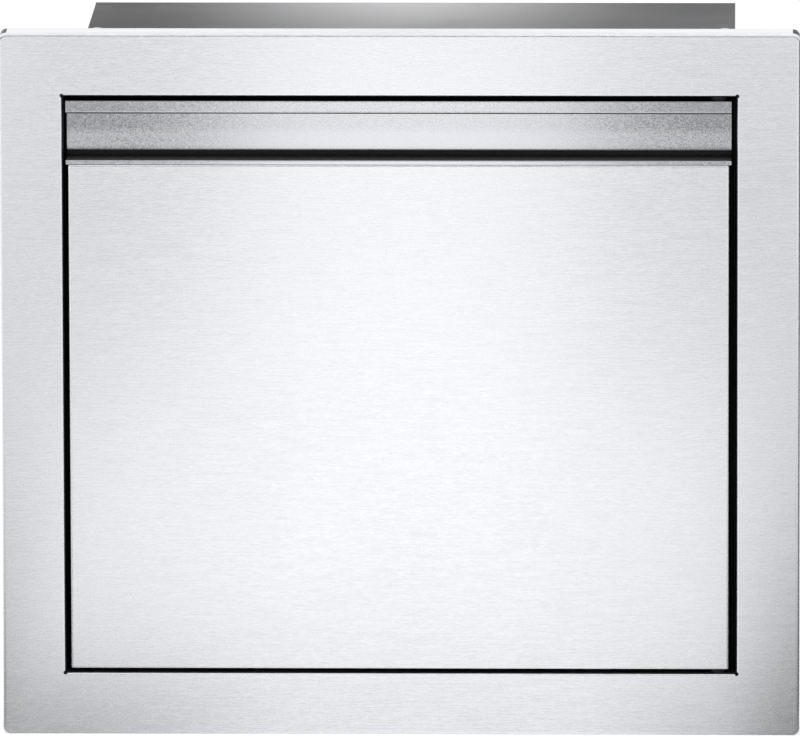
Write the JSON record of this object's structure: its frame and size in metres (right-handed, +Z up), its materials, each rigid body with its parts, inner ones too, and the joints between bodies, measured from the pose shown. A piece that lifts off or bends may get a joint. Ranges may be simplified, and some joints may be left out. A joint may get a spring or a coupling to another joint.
{
  "type": "outdoor kitchen access door",
  "caption": "Flush stainless access door in a face frame with a closed box behind it, a recessed full-width finger grip along the top, pivot hinges and a magnetic catch.",
  "frame": {"origin": "middle of the face frame's lower edge, in the plane of its rear lip, which lies on the wall", "axes": "+X right as seen from the front, +Y back into the wall, +Z up"},
  "size_m": [0.457, 0.3754, 0.407],
  "materials": {
    "brushed_steel": "fine horizontal brushing",
    "satin_steel": "satin, finely grained",
    "box_steel": "mill finish sheet",
    "plate_steel": "zinc plated",
    "fastener_steel": "plain stainless",
    "nylon": "black nylon",
    "black_rubber": "matt black sponge",
    "black_plastic": "fine moulded grain",
    "magnet": "sintered ferrite"
  },
  "bodies": {
    "cabinet": {"face_frame": "brushed_steel", "left_side_panel": "box_steel", "right_side_panel": "box_steel", "top_panel": "box_steel", "bottom_panel": "box_steel", "back_panel": "box_steel", "top_rivets_left": "fastener_steel", "top_rivets_right": "fastener_steel", "bottom_rivets_left": "fastener_steel", "bottom_rivets_right": "fastener_steel", "back_rivets_left": "fastener_steel", "back_rivets_right": "fastener_steel", "back_rivets_bottom": "fastener_steel", "back_rivets_top": "fastener_steel", "frame_rivets_left": "fastener_steel", "frame_rivets_right": "fastener_steel", "frame_rivets_bottom": "fastener_steel", "frame_rivets_top": "fastener_steel", "catch_bracket_rivets": "fastener_steel", "catch_screws": "fastener_steel", "upper_hinge_plate": "plate_steel", "lower_hinge_plate": "plate_steel", "catch_bracket": "plate_steel", "catch_pole_plates": "plate_steel", "lower_pivot_pin": "fastener_steel", "upper_pivot_bush": "nylon", "lower_thrust_washer": "nylon", "door_seal": "black_rubber", "catch_housing": "black_plastic", "catch_magnet": "magnet"},
    "door": {"door_panel": "brushed_steel", "handle_channel": "satin_steel", "door_liner": "box_steel", "liner_screws_left": "fastener_steel", "liner_screws_right": "fastener_steel", "liner_screws_middle": "fastener_steel", "strike_plate": "plate_steel", "strike_rivets": "fastener_steel", "lower_pivot_bush": "nylon", "door_pivot_plate": "plate_steel", "upper_pivot_nut": "fastener_steel", "upper_pivot_screw": "fastener_steel"}
  },
  "joints": [
    {"name": "door_hinge", "type": "hinge", "parent": "cabinet", "child": "door", "pos_m": [0.1819, -0.0125, 0.2035], "axis": [0, 0, 1], "range_deg": [0, 110]}
  ]
}
